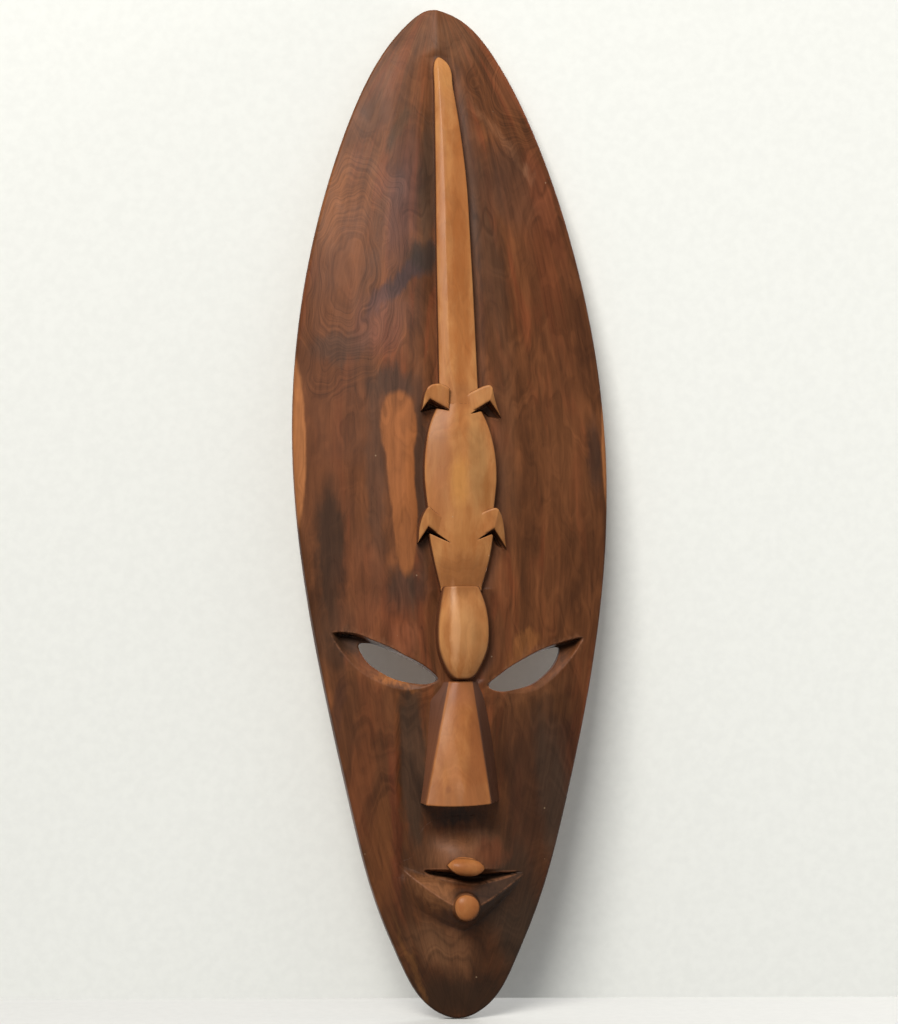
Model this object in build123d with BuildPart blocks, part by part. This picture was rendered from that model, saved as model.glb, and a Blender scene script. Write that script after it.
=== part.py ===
"""Carved wooden wall mask with a lizard in relief, in millimetres.

The mask is one block of timber, cut into a long pointed oval whose front is crowned both ways and whose
back is hollowed to a flat rim.  Dark heartwood carries the face, and the pale sapwood left on the highest
carving makes the lizard, the beads on the lips and the front of the nose.  Each carved feature is its own
solid here, seated face to face on the board.  A strap hanger with a swinging ring is screwed to the back.

Frame: +X to the viewer's right, +Z up, the face looks along -Y and the wall is the plane Y = 0.  The origin
is the point on the wall where the hook holds the raised ring.  Heights along the mask are given as depths
below its apex, because that is how a carver marks out a plank.
"""

import math
import os

from build123d import *

# The plank
HEIGHT = 950.0
HOOK_BELOW_APEX = 190.0
CROWN = 44.0  # the plain front's greatest height off the wall
ARCH_RADIUS = 353.0  # across the mask
BOW_RADIUS = 3240.0  # along the mask
WALL_THICKNESS = 18.0
PLANK_HALF_WIDTH = 165.0
LEAN = 5.5  # the hand-drawn outline drifts this far to the right
LEAN_POWER = 1.45  # puts the greatest drift a little below half way
MID_Z = HOOK_BELOW_APEX - HEIGHT / 2
SEAT_BITE = 3.0  # how deep each raised feature is built into the board before it is trimmed
CUT_CLEAR = 1.0  # how far a cut is carried past the wood

# Outline: depth below the apex, half width
OUTLINE = [
    (12.0, 26.5),
    (45.0, 54.0),
    (124.0, 92.0),
    (241.0, 127.0),
    (414.0, 148.5),
    (584.0, 135.5),
    (752.0, 101.0),
    (846.0, 75.0),
    (899.0, 53.0),
    (936.0, 30.0),
]

# Eyes, measured from the face's own centre line: (out from the centre, depth below the apex)
FACE_CENTRE = 4.0
EYE = [(24.5, 643.0), (95.0, 609.0), (60.0, 618.0), (64.0, 641.0)]  # inner and outer corner, top, foot
SOCKET = [(22.5, 645.0), (118.0, 600.0), (69.0, 613.0), (76.0, 646.0)]
SOCKET_FLOOR = 21.0  # height off the wall where the bevel meets the opening
EYE_DROP = 2.5  # the left eye sits this much higher than drawn, the right one this much lower

# Nose: depth below the apex, centre, half width of its root, rise above the board, half width of its front
NOSE = [
    (651.0, 2.5, 19.0, 8.0, 12.0),
    (754.0, 0.0, 38.0, 31.0, 29.5),
]
NOSE_ARCH = 3.0

# Mouth
LIP_X = 6.0
MOUTH = [(-54.0, 810.0), (61.0, 815.0), (6.0, 817.0), (8.0, 830.0)]  # corners, top, foot
MOUTH_FLOOR = 14.0
UPPER_LIP_TOP, UPPER_LIP_FOOT = 776.0, 817.0
UPPER_LIP_TOP_HALF, UPPER_LIP_HALF = 25.0, 36.0
UPPER_LIP_TOP_RISE, UPPER_LIP_RISE = 0.5, 10.0
BEAD_CENTRE = (6.0, 811.0)
BEAD_HALF, BEAD_HALF_HEIGHT = 17.0, 8.5
BEAD_RISE, BEAD_LENGTH, BEAD_CHAMFER = 17.0, 9.0, 3.0
LOWER_LIP = [(-50.0, 817.0), (58.0, 820.0), (7.0, 831.0), (12.0, 868.0)]
BOSS_CENTRE = (5.0, 848.0)
BOSS_RADIUS = 12.0
LOWER_LIP_RISE = 21.0
BOSS_RISE = 4.0
BOSS_ROUNDING = 3.6

# Lizard, head down: depth below the apex, centre, half width, rise above the board
TAIL = [
    (48.0, -0.5, 3.5, 1.5),
    (56.0, 1.3, 7.2, 6.0),
    (80.0, 2.7, 9.3, 8.0),
    (165.0, 6.3, 14.6, 8.5),
    (239.0, 6.5, 16.5, 9.0),
    (385.0, 7.0, 18.5, 10.0),
]
TAIL_TOP_SHARE = 0.8  # width of the tail's flat top, as a share of its foot
BODY = [
    (385.0, 6.0, 19.0, 10.0),
    (400.0, 6.0, 26.0, 12.0),
    (427.0, 6.5, 32.5, 14.0),
    (453.0, 6.5, 34.0, 15.0),
    (485.0, 6.0, 31.0, 15.0),
    (507.0, 6.0, 30.0, 14.0),
    (530.0, 6.0, 26.0, 12.0),
    (555.0, 5.5, 19.0, 10.0),
]
HEAD = [
    (555.0, 5.0, 18.0, 13.0),
    (572.0, 6.0, 22.0, 16.0),
    (593.0, 6.0, 24.5, 18.0),
    (615.0, 5.5, 22.5, 17.5),
    (630.0, 5.0, 15.5, 14.0),
    (640.0, 5.0, 6.0, 9.0),
]

# Legs: each is a bent limb, drawn as (x, depth below the apex) round its outline.  The last three points are
# its foot, the bend under it and the root of the thigh.  The notch under it runs from these to the shoulder.
HIND_LEFT = [
    (-2.0, 371.0),
    (-9.0, 366.5),
    (-18.0, 366.5),
    (-24.0, 370.0),
    (-27.0, 378.0),
    (-28.5, 391.0),
    (-21.0, 381.0),
    (-3.0, 391.0),
]
HIND_RIGHT = [
    (12.0, 377.0),
    (20.0, 372.5),
    (33.0, 367.0),
    (38.0, 369.0),
    (41.0, 383.0),
    (47.0, 398.0),
    (35.0, 383.0),
    (17.0, 393.5),
]
FRONT_LEFT = [
    (-6.0, 492.0),
    (-19.0, 486.0),
    (-25.0, 479.0),
    (-31.0, 489.0),
    (-34.0, 500.0),
    (-34.5, 514.0),
    (-25.0, 499.5),
    (-6.0, 513.5),
]
FRONT_RIGHT = [
    (12.0, 495.0),
    (21.0, 488.0),
    (35.0, 482.0),
    (40.5, 483.0),
    (46.0, 493.0),
    (49.0, 520.0),
    (36.0, 502.0),
    (20.0, 511.5),
]
SHOULDERS = [(-15.0, 388.5), (33.0, 395.0), (-26.0, 507.5), (37.5, 512.0)]
LEG_RISE = 17.0

# Hanger
SEAT_DEPTH = 19.5  # the flat the strap sits on, measured in from the wall
SEAT_HALF_WIDTH = 13.0
SEAT_TOP, SEAT_FOOT = 12.0, -66.0
SEAT_CORNER = 5.0
STRAP_THICKNESS = 1.2
STRAP_HALF_WIDTH = 6.5
STRAP_FOOT = -62.0
WIRE_RADIUS = 1.25
LOOP_BORE = 1.34
LOOP_RADIUS = 2.65
RING_HALF_WIDTH = 11.0
RING_CORNER = 2.0
RING_REACH = 17.0  # pivot to the wire's centre at the bow
RING_SEAM = 1.0  # the wire's ends meet this far along the bar, clear of its corner
PIVOT_Z = -RING_REACH + WIRE_RADIUS
PIVOT_Y = -SEAT_DEPTH + LOOP_RADIUS
SCREW_DEPTHS = (23.5, 38.0)  # below the pivot, clear of the hanging ring
SCREW_RADIUS, SCREW_LENGTH = 1.5, 10.0  # the length that is in the wood
SCREW_TIP_CHAMFER = 0.9
SCREW_HEAD_RADIUS, SCREW_HEAD_HEIGHT, SCREW_HEAD_ROUNDING = 3.4, 2.0, 1.2
SCREW_CLEARANCE = 0.05
DRIVE_SLOT = (0.9, 0.8)  # width and depth

os.makedirs("parts", exist_ok=True)


def level(depth):
    """Z of a point that lies this far below the apex."""
    return HOOK_BELOW_APEX - depth


def drift(depth):
    """How far the mask's own centre line strays to the right at this depth."""
    share = min(max(depth / HEIGHT, 0.0), 1.0)
    return LEAN * math.sin(math.pi * share**LEAN_POWER) ** 2


def front(depth, x=0.0):
    """Height of the plain crowned front off the wall."""
    arch = CROWN - ARCH_RADIUS + math.sqrt(ARCH_RADIUS**2 - x**2)
    radius = BOW_RADIUS - CROWN + arch
    along = level(depth) - MID_Z
    return math.sqrt(radius**2 - along**2) - (BOW_RADIUS - CROWN)


def spot(point, side=1.0, centre=0.0, drop=0.0):
    """A marked point (out from the centre, depth below the apex) as sketch coordinates on the wall."""
    return (centre + side * point[0], level(point[1] + drop))


def save(builder, name):
    """Labels a finished piece and writes it."""
    builder.part.label = name
    export_step(builder.part, f"parts/{name}.step")


def almond(plane, left, right, upper, lower):
    """Two arcs between two corners."""
    with BuildSketch(plane) as shape:
        with BuildLine():
            ThreePointArc(left, upper, right)
            ThreePointArc(right, lower, left)
        make_face()
    return shape.sketch


def patch(plane, corners):
    """Straight-sided shape through the given corners."""
    with BuildSketch(plane) as shape:
        with BuildLine():
            Polyline(*corners, close=True)
        make_face()
    return shape.sketch


def arch_section(shift):
    """Crowned cross-section of the plank at its middle, moved in from the front by shift."""
    radius = ARCH_RADIUS - shift
    centre_y = ARCH_RADIUS - CROWN
    edge_y = centre_y - math.sqrt(radius**2 - PLANK_HALF_WIDTH**2)
    back_y = edge_y + 2 * CROWN
    with BuildSketch(Plane.XY.offset(MID_Z)) as shape:
        with BuildLine():
            ThreePointArc((-PLANK_HALF_WIDTH, edge_y), (0.0, centre_y - radius), (PLANK_HALF_WIDTH, edge_y))
            Polyline(
                (PLANK_HALF_WIDTH, edge_y),
                (PLANK_HALF_WIDTH, back_y),
                (-PLANK_HALF_WIDTH, back_y),
                (-PLANK_HALF_WIDTH, edge_y),
            )
        make_face()
    return shape.sketch


def raised_section(depth, centre, half, rise, top_half=0.0, arch=0.0):
    """Section of a raised feature, level with its depth below the apex.

    It rises from the board at half each side of its centre to its flat or arched top, and a skirt carries
    its foot on into the board.
    """
    surface_y = -front(depth, half)
    top_y = -(front(depth) + rise)
    skirt_y = surface_y + SEAT_BITE
    with BuildSketch(Plane.XY.offset(level(depth))) as shape:
        with BuildLine():
            foot = [(centre + side * half, surface_y) for side in (-1.0, 1.0)]
            skirt = [(centre + side * half, skirt_y) for side in (-1.0, 1.0)]
            Polyline(foot[0], skirt[0], skirt[1], foot[1])
            if top_half and arch:
                shoulders = [(centre + side * top_half, top_y + arch) for side in (-1.0, 1.0)]
                Line(foot[0], shoulders[0])
                ThreePointArc(shoulders[0], (centre, top_y), shoulders[1])
                Line(shoulders[1], foot[1])
            elif top_half:
                shoulders = [(centre + side * top_half, top_y) for side in (-1.0, 1.0)]
                Polyline(foot[0], shoulders[0], shoulders[1], foot[1])
            else:
                ThreePointArc(foot[0], (centre, top_y), foot[1])
        make_face()
    return shape.sketch


# ---------------------------------------------------------------- the board
BOW_AXIS = Axis((0.0, BOW_RADIUS - CROWN, MID_Z), (1.0, 0.0, 0.0))
SEAT_PLANE = Plane.XZ.offset(SEAT_DEPTH)  # the hanger's flat, its normal points into the wood
SCREW_SPOTS = [(0.0, PIVOT_Z - depth) for depth in SCREW_DEPTHS]

with BuildPart() as mask_board:
    with BuildSketch(Plane.XZ):
        with BuildLine():
            right = [(drift(d) + w, level(d)) for d, w in OUTLINE]
            left = [(drift(d) - w, level(d)) for d, w in OUTLINE]
            Spline((0.0, level(0.0)), *right, (0.0, level(HEIGHT)), *reversed(left), periodic=True)
        make_face()
    extrude(amount=CROWN + CUT_CLEAR)
    revolve(arch_section(0.0), axis=BOW_AXIS, mode=Mode.INTERSECT)
    revolve(arch_section(WALL_THICKNESS), axis=BOW_AXIS, mode=Mode.SUBTRACT)

    # Eyes: a bevelled socket that narrows to an opening through the board
    for side in (-1.0, 1.0):
        drop = side * EYE_DROP
        eye = [spot(p, side, FACE_CENTRE, drop) for p in EYE]
        socket = [spot(p, side, FACE_CENTRE, drop) for p in SOCKET]
        extrude(almond(Plane.XZ, *eye), amount=CROWN + CUT_CLEAR, mode=Mode.SUBTRACT)
        bevel = [almond(Plane.XZ.offset(SOCKET_FLOOR), *eye), almond(Plane.XZ.offset(CROWN), *socket)]
        loft(bevel, mode=Mode.SUBTRACT)

    # Mouth
    extrude(
        almond(Plane.XZ.offset(MOUTH_FLOOR), *[spot(p) for p in MOUTH]),
        amount=CROWN,
        mode=Mode.SUBTRACT,
    )

    # Flat for the hanger, and its two pilot holes
    with BuildSketch(Plane.XZ):
        with Locations((0.0, (SEAT_TOP + SEAT_FOOT) / 2)):
            RectangleRounded(2 * SEAT_HALF_WIDTH, SEAT_TOP - SEAT_FOOT, SEAT_CORNER)
    extrude(amount=SEAT_DEPTH, mode=Mode.SUBTRACT)
    with BuildSketch(SEAT_PLANE):
        with Locations(*SCREW_SPOTS):
            Circle(SCREW_RADIUS + SCREW_CLEARANCE)
    extrude(amount=SCREW_LENGTH + SCREW_CLEARANCE, mode=Mode.SUBTRACT)
save(mask_board, "mask_board")

# ---------------------------------------------------------------- the face
with BuildPart() as nose:
    loft([raised_section(*row, NOSE_ARCH) for row in NOSE])
    add(mask_board.part, mode=Mode.SUBTRACT)
save(nose, "nose")

bead_top = front(BEAD_CENTRE[1]) + BEAD_RISE
bead_plane = Plane.XZ.offset(bead_top - BEAD_LENGTH)
with BuildPart() as upper_lip_bead:
    ends = [spot((BEAD_CENTRE[0] + side * BEAD_HALF, BEAD_CENTRE[1])) for side in (-1.0, 1.0)]
    sides = [spot((BEAD_CENTRE[0], BEAD_CENTRE[1] + side * BEAD_HALF_HEIGHT)) for side in (-1.0, 1.0)]
    extrude(almond(bead_plane, *ends, *sides), amount=BEAD_LENGTH)
    chamfer(upper_lip_bead.faces().sort_by(Axis.Y)[0].edges(), BEAD_CHAMFER)
save(upper_lip_bead, "upper_lip_bead")

with BuildPart() as upper_lip:
    loft(
        [
            raised_section(UPPER_LIP_TOP, LIP_X, UPPER_LIP_TOP_HALF, UPPER_LIP_TOP_RISE),
            raised_section(UPPER_LIP_FOOT, LIP_X, UPPER_LIP_HALF, UPPER_LIP_RISE),
        ]
    )
    add(mask_board.part, mode=Mode.SUBTRACT)
    add(upper_lip_bead.part, mode=Mode.SUBTRACT)
save(upper_lip, "upper_lip")

# The lower lip grows from a wide almond on the board to a round boss, which a domed bead caps
boss_root = front(BOSS_CENTRE[1])
boss_plane = Plane.XZ.offset(boss_root + LOWER_LIP_RISE)
with BuildPart() as lower_lip:
    rim = [
        spot((BOSS_CENTRE[0] + dx * BOSS_RADIUS, BOSS_CENTRE[1] + dz * BOSS_RADIUS))
        for dx, dz in ((-1.0, 0.0), (1.0, 0.0), (0.0, -1.0), (0.0, 1.0))
    ]
    root = [spot(p) for p in LOWER_LIP]
    loft([almond(Plane.XZ.offset(boss_root - SEAT_BITE), *root), almond(boss_plane, *rim)])
    add(mask_board.part, mode=Mode.SUBTRACT)
save(lower_lip, "lower_lip")

with BuildPart() as lower_lip_bead:
    with BuildSketch(boss_plane):
        with Locations(spot(BOSS_CENTRE)):
            Circle(BOSS_RADIUS)
    extrude(amount=BOSS_RISE)
    fillet(lower_lip_bead.faces().sort_by(Axis.Y)[0].edges(), BOSS_ROUNDING)
save(lower_lip_bead, "lower_lip_bead")

# ---------------------------------------------------------------- the lizard
LEGS = {
    "lizard_hind_leg_left": HIND_LEFT,
    "lizard_hind_leg_right": HIND_RIGHT,
    "lizard_front_leg_left": FRONT_LEFT,
    "lizard_front_leg_right": FRONT_RIGHT,
}

with BuildPart() as lizard_tail:
    loft([raised_section(*row, row[2] * TAIL_TOP_SHARE) for row in TAIL], ruled=True)
    add(mask_board.part, mode=Mode.SUBTRACT)
save(lizard_tail, "lizard_tail")

with BuildPart() as lizard_body:
    loft([raised_section(*row) for row in BODY])
    add(mask_board.part, mode=Mode.SUBTRACT)
    # Under each leg a notch is cut right through the body
    for leg, shoulder in zip(LEGS.values(), SHOULDERS):
        bend = leg[-2]
        plane = Plane.XZ.offset(front(bend[1]) - SEAT_BITE)
        corners = [spot(p) for p in (*leg[-3:], shoulder)]
        extrude(patch(plane, corners), amount=SEAT_BITE + LEG_RISE + CUT_CLEAR, mode=Mode.SUBTRACT)
save(lizard_body, "lizard_body")

with BuildPart() as lizard_head:
    loft([raised_section(*row) for row in HEAD])
    add(mask_board.part, mode=Mode.SUBTRACT)
    add(nose.part, mode=Mode.SUBTRACT)
save(lizard_head, "lizard_head")

for name, leg in LEGS.items():
    with BuildPart() as limb:
        plane = Plane.XZ.offset(front(leg[1][1]) - SEAT_BITE)
        extrude(patch(plane, [spot(p) for p in leg]), amount=SEAT_BITE + LEG_RISE)
        for neighbour in (mask_board, lizard_body, lizard_tail):
            add(neighbour.part, mode=Mode.SUBTRACT)
    save(limb, name)

# ---------------------------------------------------------------- the hanger
strap_face = Plane.XZ.offset(SEAT_DEPTH - STRAP_THICKNESS)

with BuildPart() as hanger_strap:
    # Side profile: a strip along the seat with its top end rolled into a loop
    with BuildSketch(Plane.YZ.offset(-STRAP_HALF_WIDTH)):
        with Locations((-SEAT_DEPTH + STRAP_THICKNESS / 2, (PIVOT_Z + STRAP_FOOT) / 2)):
            Rectangle(STRAP_THICKNESS, PIVOT_Z - STRAP_FOOT)
        with Locations((PIVOT_Y, PIVOT_Z)):
            Circle(LOOP_RADIUS)
            Circle(LOOP_BORE, mode=Mode.SUBTRACT)
    extrude(amount=2 * STRAP_HALF_WIDTH)
    # Plan: square at the loop, round at the foot
    with BuildSketch(SEAT_PLANE):
        with Locations((0.0, STRAP_FOOT + STRAP_HALF_WIDTH)):
            Circle(STRAP_HALF_WIDTH)
        with Locations((0.0, (STRAP_FOOT + STRAP_HALF_WIDTH + PIVOT_Z + 2 * LOOP_RADIUS) / 2)):
            Rectangle(2 * STRAP_HALF_WIDTH, PIVOT_Z + 2 * LOOP_RADIUS - STRAP_FOOT - STRAP_HALF_WIDTH)
    extrude(amount=-4 * LOOP_RADIUS, mode=Mode.INTERSECT)
    with BuildSketch(SEAT_PLANE):
        with Locations(*SCREW_SPOTS):
            Circle(SCREW_RADIUS + SCREW_CLEARANCE)
    extrude(amount=-STRAP_THICKNESS, mode=Mode.SUBTRACT)
save(hanger_strap, "hanger_strap")

# The ring is a D of round wire: a straight bar through the loop, round corners and a half-round bow
bow_radius = RING_HALF_WIDTH - WIRE_RADIUS
seam_x = RING_SEAM - bow_radius + RING_CORNER
shoulder_z = PIVOT_Z - RING_REACH + bow_radius
with BuildPart() as hanger_ring:
    with BuildLine(Plane.XZ.offset(-PIVOT_Y)):
        bar = Line((seam_x, PIVOT_Z), (bow_radius - RING_CORNER, PIVOT_Z))
        corner = TangentArc(bar @ 1, (bow_radius, PIVOT_Z - RING_CORNER), tangent=bar % 1)
        leg = Line(corner @ 1, (bow_radius, shoulder_z))
        bow = ThreePointArc(leg @ 1, (0.0, PIVOT_Z - RING_REACH), (-bow_radius, shoulder_z))
        other_leg = Line(bow @ 1, (-bow_radius, PIVOT_Z - RING_CORNER))
        corner_end = (RING_CORNER - bow_radius, PIVOT_Z)
        other_corner = TangentArc(other_leg @ 1, corner_end, tangent=other_leg % 1)
        Line(other_corner @ 1, bar @ 0)
    with BuildSketch(Plane(origin=(seam_x, PIVOT_Y, PIVOT_Z), z_dir=(1, 0, 0))):
        Circle(WIRE_RADIUS)
    sweep()
save(hanger_ring, "hanger_ring")

with BuildPart() as hanger_screws:
    with BuildSketch(strap_face):
        with Locations(*SCREW_SPOTS):
            Circle(SCREW_RADIUS)
    extrude(amount=STRAP_THICKNESS + SCREW_LENGTH)
    chamfer(hanger_screws.faces().sort_by(Axis.Y)[:2].edges(), SCREW_TIP_CHAMFER)
    with BuildSketch(strap_face):
        with Locations(*SCREW_SPOTS):
            Circle(SCREW_HEAD_RADIUS)
    extrude(amount=-SCREW_HEAD_HEIGHT)
    fillet(hanger_screws.faces().sort_by(Axis.Y)[-2:].edges(), SCREW_HEAD_ROUNDING)
    with BuildSketch(strap_face.offset(-SCREW_HEAD_HEIGHT)):
        with Locations(*SCREW_SPOTS):
            Rectangle(2 * (SCREW_HEAD_RADIUS + CUT_CLEAR), DRIVE_SLOT[0])
    extrude(amount=DRIVE_SLOT[1], mode=Mode.SUBTRACT)
save(hanger_screws, "hanger_screws")
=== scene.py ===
"""Looks of the carved wall mask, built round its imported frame.

Shapes are worked out in millimetres as height off the wall over the face's x and z, and turned into metres
when a mesh is made.  Depth means distance below the mask's apex.  Each carved piece is the surface where a
field is zero: positive inside the wood, negative outside.
"""

import math
from copy import copy

import bpy
import numpy as np
from mathutils import Euler, Matrix, Vector


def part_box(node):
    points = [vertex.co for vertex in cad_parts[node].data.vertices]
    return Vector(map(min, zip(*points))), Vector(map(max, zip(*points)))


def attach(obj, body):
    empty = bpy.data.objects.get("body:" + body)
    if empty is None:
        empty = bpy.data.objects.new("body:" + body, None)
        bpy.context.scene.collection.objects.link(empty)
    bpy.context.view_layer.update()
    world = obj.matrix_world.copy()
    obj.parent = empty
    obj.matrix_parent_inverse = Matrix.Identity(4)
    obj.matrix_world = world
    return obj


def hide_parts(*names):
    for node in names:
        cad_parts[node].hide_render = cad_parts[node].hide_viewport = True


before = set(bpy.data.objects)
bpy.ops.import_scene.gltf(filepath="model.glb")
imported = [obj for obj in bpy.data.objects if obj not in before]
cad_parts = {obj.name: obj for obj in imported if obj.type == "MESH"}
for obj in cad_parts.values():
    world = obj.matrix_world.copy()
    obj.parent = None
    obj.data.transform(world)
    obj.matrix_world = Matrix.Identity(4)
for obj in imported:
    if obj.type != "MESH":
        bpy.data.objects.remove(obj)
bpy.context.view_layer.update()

MM = 0.001
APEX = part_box("mask_board")[1].z / MM
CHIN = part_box("mask_board")[0].z / MM
MIDDLE = (APEX + CHIN) / 2
CROWN = -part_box("mask_board")[0].y / MM
ARCH_RADIUS = 353.0  # across the mask
BOW_RADIUS = 3240.0  # along the mask
WALL_THICKNESS = 18.0


# ---------------- small tools
def add_object(name, data):
    thing = bpy.data.objects.new(name, data)
    bpy.context.scene.collection.objects.link(thing)
    return thing


def smooth(t):
    t = np.clip(t, 0.0, 1.0)
    return t * t * (3 - 2 * t)


def soft_min(a, b, radius):
    """The lesser of two fields, with the corner between them rounded."""
    gap = np.clip(1 - np.abs(a - b) / radius, 0.0, 1.0)
    return np.minimum(a, b) - gap * gap * radius / 4


def soft_max(a, b, radius):
    return -soft_min(-a, -b, radius)


def wobble(x, z, size, seed, stretch=1.0):
    """Smooth noise from -1 to 1 over the face, with lumps about size across and size times stretch tall."""
    lattice = np.random.default_rng(seed).random((97, 97)) * 2 - 1
    u, v = np.broadcast_arrays(x / size + 40.5, z / (size * stretch) + 40.5)
    i, j = np.floor(u).astype(int), np.floor(v).astype(int)
    s, t = smooth(u - i), smooth(v - j)
    i, j = i % 96, j % 96
    low = lattice[i, j] * (1 - s) + lattice[i + 1, j] * s
    high = lattice[i, j + 1] * (1 - s) + lattice[i + 1, j + 1] * s
    return low * (1 - t) + high * t


def rounded_loop(points, per_span=8):
    """Closed smooth curve through the points."""
    p = np.array(points, float)
    before, after, beyond = np.roll(p, 1, 0), np.roll(p, -1, 0), np.roll(p, -2, 0)
    out = []
    for t in np.linspace(0, 1, per_span, endpoint=False):
        double = 2 * p + (after - before) * t + (2 * before - 5 * p + 4 * after - beyond) * t**2
        out.append(0.5 * (double + (3 * p - before - 3 * after + beyond) * t**3))
    return np.stack(out, 1).reshape(-1, 2)


def hermite(fine, at, value):
    """A smooth curve through values given at some places."""
    rate = np.gradient(value, at)
    i = np.clip(np.searchsorted(at, fine, side="right") - 1, 0, len(at) - 2)
    span = at[i + 1] - at[i]
    t = np.clip((fine - at[i]) / span, 0, 1)
    start = (1 + 2 * t) * (1 - t) ** 2 * value[i] + t * (1 - t) ** 2 * rate[i] * span
    return start + t**2 * (3 - 2 * t) * value[i + 1] + t**2 * (t - 1) * rate[i + 1] * span


def through(*points):
    """Depth along x, smooth through the points; the first and last are its ends."""
    x, d = np.array(points, float).T

    def curve(where):
        return hermite(where, x, d)

    curve.ends = x[0], x[-1]
    return curve


def inside(loop, x, z, reach=60.0):
    """Signed distance to a closed loop of (x, depth) points, positive inside, no lower than minus reach."""
    x, z = np.broadcast_arrays(x, z)
    d = APEX - z
    out = np.full(x.shape, -reach, float)
    low, high = loop.min(0) - reach, loop.max(0) + reach
    near = (x > low[0]) & (x < high[0]) & (d > low[1]) & (d < high[1])
    px, pd = x[near], d[near]
    best = np.full(px.shape, reach**2)
    odd = np.zeros(px.shape, bool)
    for (ax, ad), (bx, bd) in zip(loop, np.roll(loop, -1, 0)):
        ex, ed = bx - ax, bd - ad
        t = np.clip(((px - ax) * ex + (pd - ad) * ed) / max(ex * ex + ed * ed, 1e-9), 0, 1)
        best = np.minimum(best, (px - ax - t * ex) ** 2 + (pd - ad - t * ed) ** 2)
        if bd != ad:
            odd ^= ((ad > pd) != (bd > pd)) & (px < ex * (pd - ad) / ed + ax)
    out[near] = np.sqrt(best) * np.where(odd, 1.0, -1.0)
    return out


class Chart:
    """A quantity over the face, worked out once on a fine grid and read back between its points."""

    def __init__(self, low, high, step, quantity):
        self.low, self.step = low, step
        x = np.arange(low[0], high[0] + step, step)
        z = np.arange(low[1], high[1] + step, step)
        self.values = np.asarray(quantity(x[:, None], z[None, :]), float)

    def __call__(self, x, z):
        u = np.clip((x - self.low[0]) / self.step, 0, self.values.shape[0] - 1.001)
        v = np.clip((z - self.low[1]) / self.step, 0, self.values.shape[1] - 1.001)
        u, v = np.broadcast_arrays(u, v)
        i, j = u.astype(int), v.astype(int)
        s, t = u - i, v - j
        a = self.values
        low = a[i, j] * (1 - s) + a[i + 1, j] * s
        high = a[i, j + 1] * (1 - s) + a[i + 1, j + 1] * s
        return low * (1 - t) + high * t


class Profile:
    """How far left and right a CAD node reaches at each height, in millimetres."""

    def __init__(self, node, levels):
        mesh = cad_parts[node].data
        co = np.zeros(len(mesh.vertices) * 3)
        mesh.vertices.foreach_get("co", co)
        co = co.reshape(-1, 3) / MM
        pairs = np.zeros(len(mesh.edges) * 2, int)
        mesh.edges.foreach_get("vertices", pairs)
        a, b = co[pairs[0::2]], co[pairs[1::2]]
        bottom, top = co[:, 2].min(), co[:, 2].max()
        margin = (top - bottom) * 1e-4
        self.z = np.linspace(bottom + margin, top - margin, levels)
        ends = []
        for z in self.z:
            hit = (a[:, 2] - z) * (b[:, 2] - z) <= 0
            p, q = a[hit], b[hit]
            rise = q[:, 2] - p[:, 2]
            t = np.where(np.abs(rise) > 1e-9, (z - p[:, 2]) / np.where(rise == 0, 1, rise), 0)
            cut = p[:, 0] + (q - p)[:, 0] * t
            ends.append((cut.min(), cut.max()))
        self.left, self.right = np.array(ends).T

    def centre(self, z):
        return np.interp(z, self.z, (self.left + self.right) / 2)

    def half(self, z):
        return np.interp(z, self.z, (self.right - self.left) / 2)


class Row:
    """A feature that runs along the mask, from rows of depth, centre, half width and rise."""

    def __init__(self, *rows):
        depth, centre, half, rise = np.array(rows, float).T
        self.top, self.bottom = APEX - depth[0], APEX - depth[-1]
        fine = np.linspace(depth[0], depth[-1], 400)
        self.z = (APEX - fine)[::-1]
        self.parts = [hermite(fine, depth, v)[::-1] for v in (centre, half, rise)]

    def centre(self, z):
        return np.interp(z, self.z, self.parts[0])

    def half(self, z):
        return np.interp(z, self.z, self.parts[1])

    def rise(self, z):
        return np.interp(z, self.z, self.parts[2])


# ---------------- meshes from fields
CORNERS = np.array([(i, j, k) for i in (0, 1) for j in (0, 1) for k in (0, 1)])
CELL_EDGES = [
    (a, b) for a in range(8) for b in range(a + 1, 8) if abs(CORNERS[a] - CORNERS[b]).sum() == 1
]


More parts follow.
